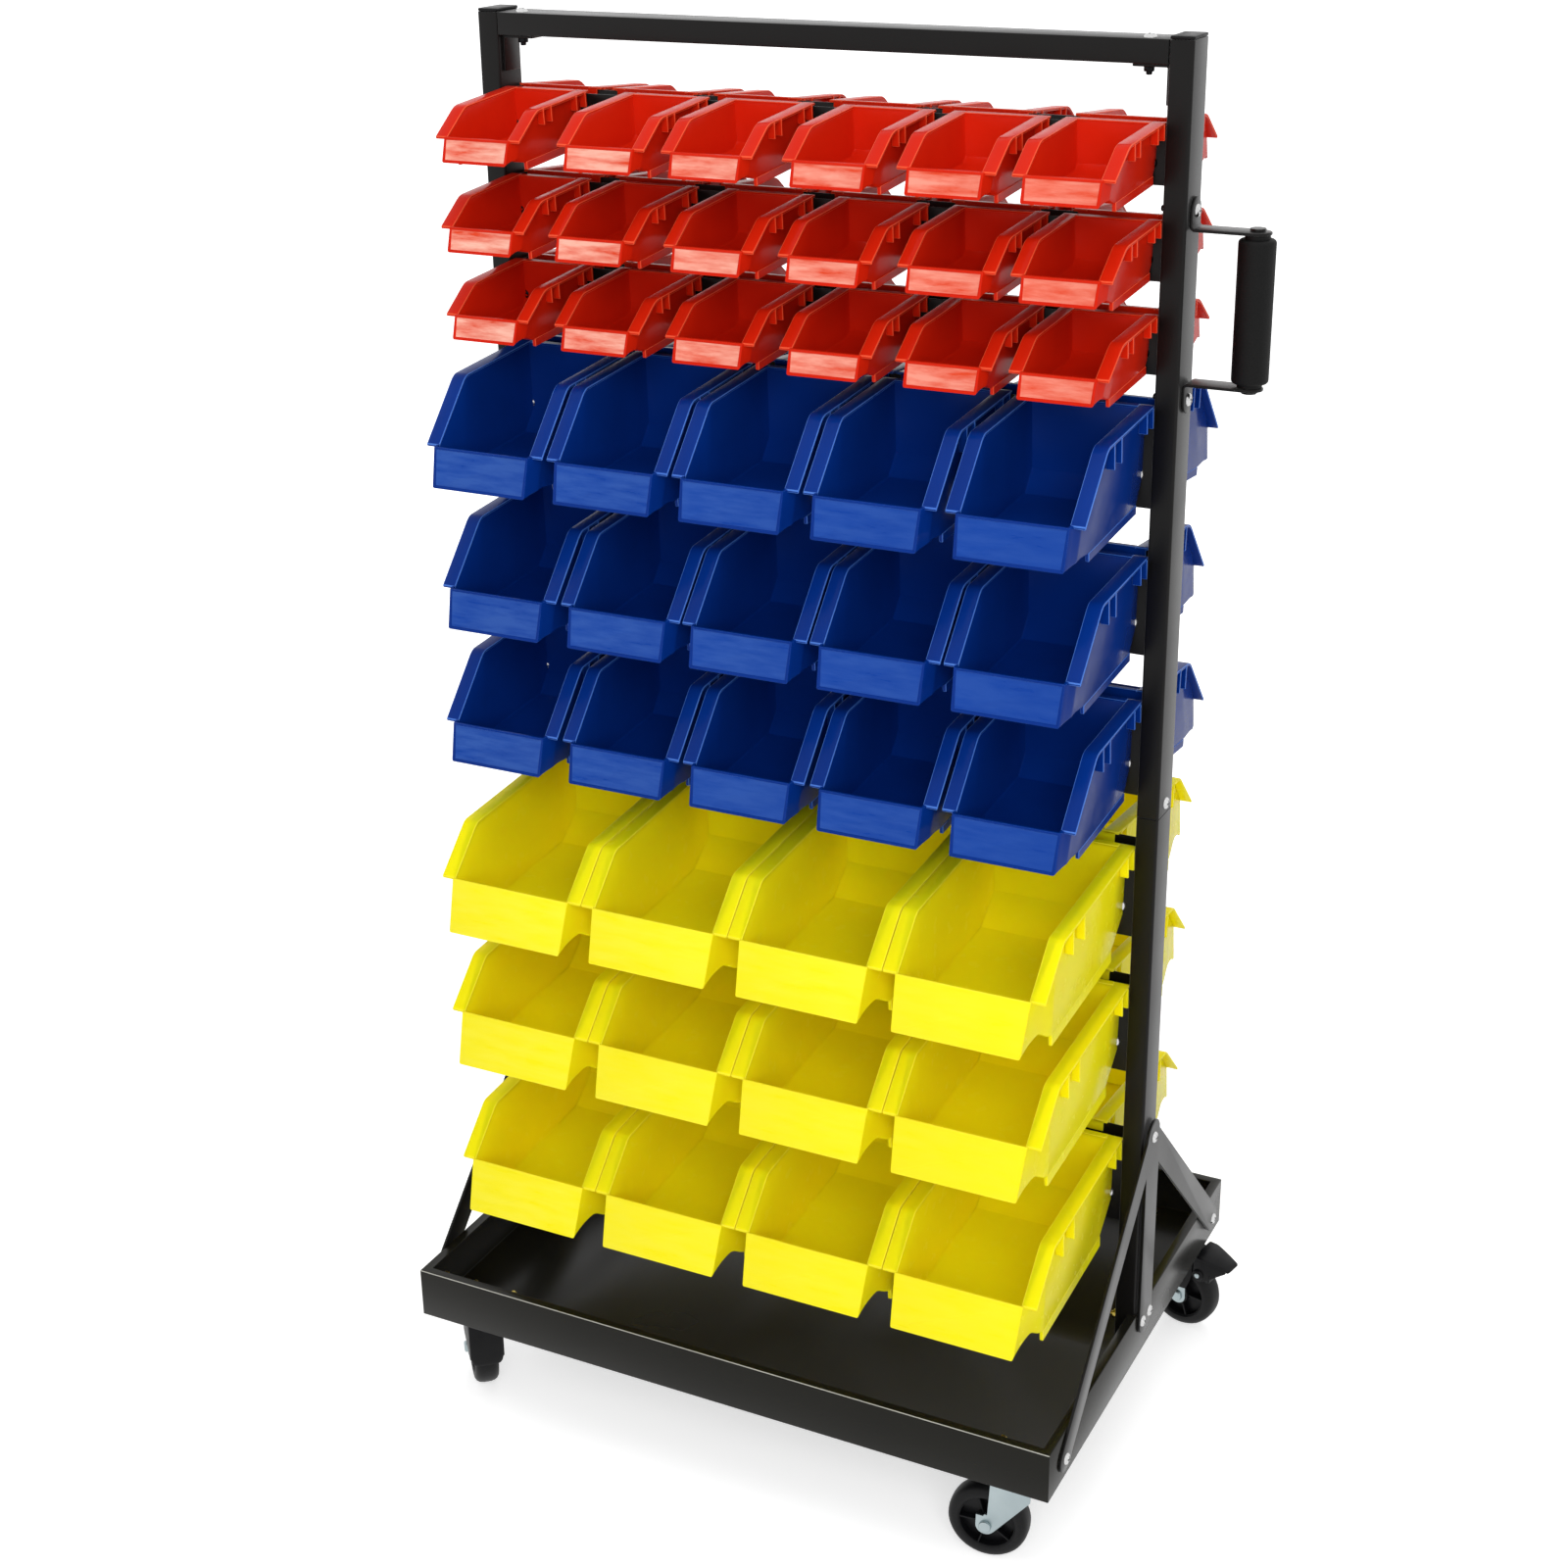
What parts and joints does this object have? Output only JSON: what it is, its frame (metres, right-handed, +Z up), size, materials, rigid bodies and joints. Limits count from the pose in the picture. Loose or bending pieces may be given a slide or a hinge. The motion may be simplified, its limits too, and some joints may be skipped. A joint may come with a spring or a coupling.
{
  "type": "mobile bin cart",
  "caption": "Two-sided rolling rack: a steel post frame on a castered tray, with rows of hang-on open-front plastic bins and a side push handle.",
  "frame": {"origin": "middle of the bounding box, at floor level, with the wheels standing on z = 0", "axes": "+X runs along the channels towards the push handle, +Y towards the rear side, +Z up"},
  "size_m": [0.745, 0.49, 1.3108],
  "materials": {
    "black_powder": "satin black powder coat",
    "tray_powder": "satin black powder coat, slightly olive",
    "black_plastic": "moulded black plastic",
    "zinc": "bright zinc plate",
    "grip": "matt black foam grip",
    "wheel": "hard black tread and hub",
    "red_plastic": "glossy injection-moulded polypropylene",
    "blue_plastic": "glossy injection-moulded polypropylene",
    "yellow_plastic": "glossy injection-moulded polypropylene"
  },
  "bodies": {
    "cart": {"tray": "tray_powder", "post_left_lower": "black_powder", "post_left_upper": "black_powder", "post_left_sleeve": "zinc", "post_left_cap": "black_plastic", "post_right_lower": "black_powder", "post_right_upper": "black_powder", "post_right_sleeve": "zinc", "post_right_cap": "black_plastic", "top_beam": "black_powder", "beam_bracket_left": "black_powder", "beam_bracket_right": "black_powder", "gusset_left": "black_powder", "gusset_right": "black_powder", "rail_red_1": "black_powder", "rail_red_2": "black_powder", "rail_red_3": "black_powder", "rail_blue_1": "black_powder", "rail_blue_2": "black_powder", "rail_blue_3": "black_powder", "rail_yellow_1": "black_powder", "rail_yellow_2": "black_powder", "rail_yellow_3": "black_powder", "handle_arm_upper": "black_powder", "handle_arm_lower": "black_powder", "handle_rod": "zinc", "caster_mount_front_left": "zinc", "caster_mount_front_right": "zinc", "caster_mount_rear_left": "zinc", "caster_mount_rear_right": "zinc"},
    "grip": {"handle_grip": "grip"},
    "swivel_front_left": {"caster_fork_front_left": "zinc"},
    "wheel_front_left": {"caster_wheel_front_left": "wheel"},
    "pedal_front_left": {"brake_pedal_front_left": "black_plastic"},
    "swivel_front_right": {"caster_fork_front_right": "zinc"},
    "wheel_front_right": {"caster_wheel_front_right": "wheel"},
    "swivel_rear_left": {"caster_fork_rear_left": "zinc"},
    "wheel_rear_left": {"caster_wheel_rear_left": "wheel"},
    "swivel_rear_right": {"caster_fork_rear_right": "zinc"},
    "wheel_rear_right": {"caster_wheel_rear_right": "wheel"},
    "pedal_rear_right": {"brake_pedal_rear_right": "black_plastic"},
    "row_red_1_front": {"bins_red_1_front": "red_plastic"},
    "row_red_1_rear": {"bins_red_1_rear": "red_plastic"},
    "row_red_2_front": {"bins_red_2_front": "red_plastic"},
    "row_red_2_rear": {"bins_red_2_rear": "red_plastic"},
    "row_red_3_front": {"bins_red_3_front": "red_plastic"},
    "row_red_3_rear": {"bins_red_3_rear": "red_plastic"},
    "row_blue_1_front": {"bins_blue_1_front": "blue_plastic"},
    "row_blue_1_rear": {"bins_blue_1_rear": "blue_plastic"},
    "row_blue_2_front": {"bins_blue_2_front": "blue_plastic"},
    "row_blue_2_rear": {"bins_blue_2_rear": "blue_plastic"},
    "row_blue_3_front": {"bins_blue_3_front": "blue_plastic"},
    "row_blue_3_rear": {"bins_blue_3_rear": "blue_plastic"},
    "row_yellow_1_front": {"bins_yellow_1_front": "yellow_plastic"},
    "row_yellow_1_rear": {"bins_yellow_1_rear": "yellow_plastic"},
    "row_yellow_2_front": {"bins_yellow_2_front": "yellow_plastic"},
    "row_yellow_2_rear": {"bins_yellow_2_rear": "yellow_plastic"},
    "row_yellow_3_front": {"bins_yellow_3_front": "yellow_plastic"},
    "row_yellow_3_rear": {"bins_yellow_3_rear": "yellow_plastic"}
  },
  "joints": [
    {"name": "grip_turn", "type": "hinge", "parent": "cart", "child": "grip", "pos_m": [0.35755, 0, 1.101], "axis": [0, 0, 1], "continuous": true},
    {"name": "swivel_front_left_turn", "type": "hinge", "parent": "cart", "child": "swivel_front_left", "pos_m": [-0.30325, -0.208, 0.09], "axis": [0, 0, 1], "continuous": true},
    {"name": "wheel_front_left_spin", "type": "hinge", "parent": "swivel_front_left", "child": "wheel_front_left", "pos_m": [-0.319, -0.18989, 0.0375], "axis": [-0.7547, -0.6561, 0], "continuous": true},
    {"name": "pedal_front_left_press", "type": "hinge", "parent": "swivel_front_left", "child": "pedal_front_left", "pos_m": [-0.33474, -0.17177, 0.073], "axis": [-0.7547, -0.6561, 0], "range_deg": [0, 14]},
    {"name": "swivel_front_right_turn", "type": "hinge", "parent": "cart", "child": "swivel_front_right", "pos_m": [0.26235, -0.208, 0.09], "axis": [0, 0, 1], "continuous": true},
    {"name": "wheel_front_right_spin", "type": "hinge", "parent": "swivel_front_right", "child": "wheel_front_right", "pos_m": [0.23848, -0.21051, 0.0375], "axis": [0.1045, -0.9945, 0], "continuous": true},
    {"name": "swivel_rear_left_turn", "type": "hinge", "parent": "cart", "child": "swivel_rear_left", "pos_m": [-0.30325, 0.208, 0.09], "axis": [0, 0, 1], "continuous": true},
    {"name": "wheel_rear_left_spin", "type": "hinge", "parent": "swivel_rear_left", "child": "wheel_rear_left", "pos_m": [-0.3258, 0.21621, 0.0375], "axis": [-0.342, -0.9397, 0], "continuous": true},
    {"name": "swivel_rear_right_turn", "type": "hinge", "parent": "cart", "child": "swivel_rear_right", "pos_m": [0.26235, 0.208, 0.09], "axis": [0, 0, 1], "continuous": true},
    {"name": "wheel_rear_right_spin", "type": "hinge", "parent": "swivel_rear_right", "child": "wheel_rear_right", "pos_m": [0.28582, 0.20301, 0.0375], "axis": [0.2079, 0.9781, 0], "continuous": true},
    {"name": "pedal_rear_right_press", "type": "hinge", "parent": "swivel_rear_right", "child": "pedal_rear_right", "pos_m": [0.3093, 0.19802, 0.073], "axis": [0.2079, 0.9781, 0], "range_deg": [0, 14]},
    {"name": "row_red_1_front_lift", "type": "slide", "parent": "cart", "child": "row_red_1_front", "axis": [0, 0, 1], "range_m": [0, 0.012]},
    {"name": "row_red_1_rear_lift", "type": "slide", "parent": "cart", "child": "row_red_1_rear", "axis": [0, 0, 1], "range_m": [0, 0.012]},
    {"name": "row_red_2_front_lift", "type": "slide", "parent": "cart", "child": "row_red_2_front", "axis": [0, 0, 1], "range_m": [0, 0.012]},
    {"name": "row_red_2_rear_lift", "type": "slide", "parent": "cart", "child": "row_red_2_rear", "axis": [0, 0, 1], "range_m": [0, 0.012]},
    {"name": "row_red_3_front_lift", "type": "slide", "parent": "cart", "child": "row_red_3_front", "axis": [0, 0, 1], "range_m": [0, 0.012]},
    {"name": "row_red_3_rear_lift", "type": "slide", "parent": "cart", "child": "row_red_3_rear", "axis": [0, 0, 1], "range_m": [0, 0.012]},
    {"name": "row_blue_1_front_lift", "type": "slide", "parent": "cart", "child": "row_blue_1_front", "axis": [0, 0, 1], "range_m": [0, 0.012]},
    {"name": "row_blue_1_rear_lift", "type": "slide", "parent": "cart", "child": "row_blue_1_rear", "axis": [0, 0, 1], "range_m": [0, 0.012]},
    {"name": "row_blue_2_front_lift", "type": "slide", "parent": "cart", "child": "row_blue_2_front", "axis": [0, 0, 1], "range_m": [0, 0.012]},
    {"name": "row_blue_2_rear_lift", "type": "slide", "parent": "cart", "child": "row_blue_2_rear", "axis": [0, 0, 1], "range_m": [0, 0.012]},
    {"name": "row_blue_3_front_lift", "type": "slide", "parent": "cart", "child": "row_blue_3_front", "axis": [0, 0, 1], "range_m": [0, 0.012]},
    {"name": "row_blue_3_rear_lift", "type": "slide", "parent": "cart", "child": "row_blue_3_rear", "axis": [0, 0, 1], "range_m": [0, 0.012]},
    {"name": "row_yellow_1_front_lift", "type": "slide", "parent": "cart", "child": "row_yellow_1_front", "axis": [0, 0, 1], "range_m": [0, 0.012]},
    {"name": "row_yellow_1_rear_lift", "type": "slide", "parent": "cart", "child": "row_yellow_1_rear", "axis": [0, 0, 1], "range_m": [0, 0.012]},
    {"name": "row_yellow_2_front_lift", "type": "slide", "parent": "cart", "child": "row_yellow_2_front", "axis": [0, 0, 1], "range_m": [0, 0.012]},
    {"name": "row_yellow_2_rear_lift", "type": "slide", "parent": "cart", "child": "row_yellow_2_rear", "axis": [0, 0, 1], "range_m": [0, 0.012]},
    {"name": "row_yellow_3_front_lift", "type": "slide", "parent": "cart", "child": "row_yellow_3_front", "axis": [0, 0, 1], "range_m": [0, 0.012]},
    {"name": "row_yellow_3_rear_lift", "type": "slide", "parent": "cart", "child": "row_yellow_3_rear", "axis": [0, 0, 1], "range_m": [0, 0.012]}
  ]
}
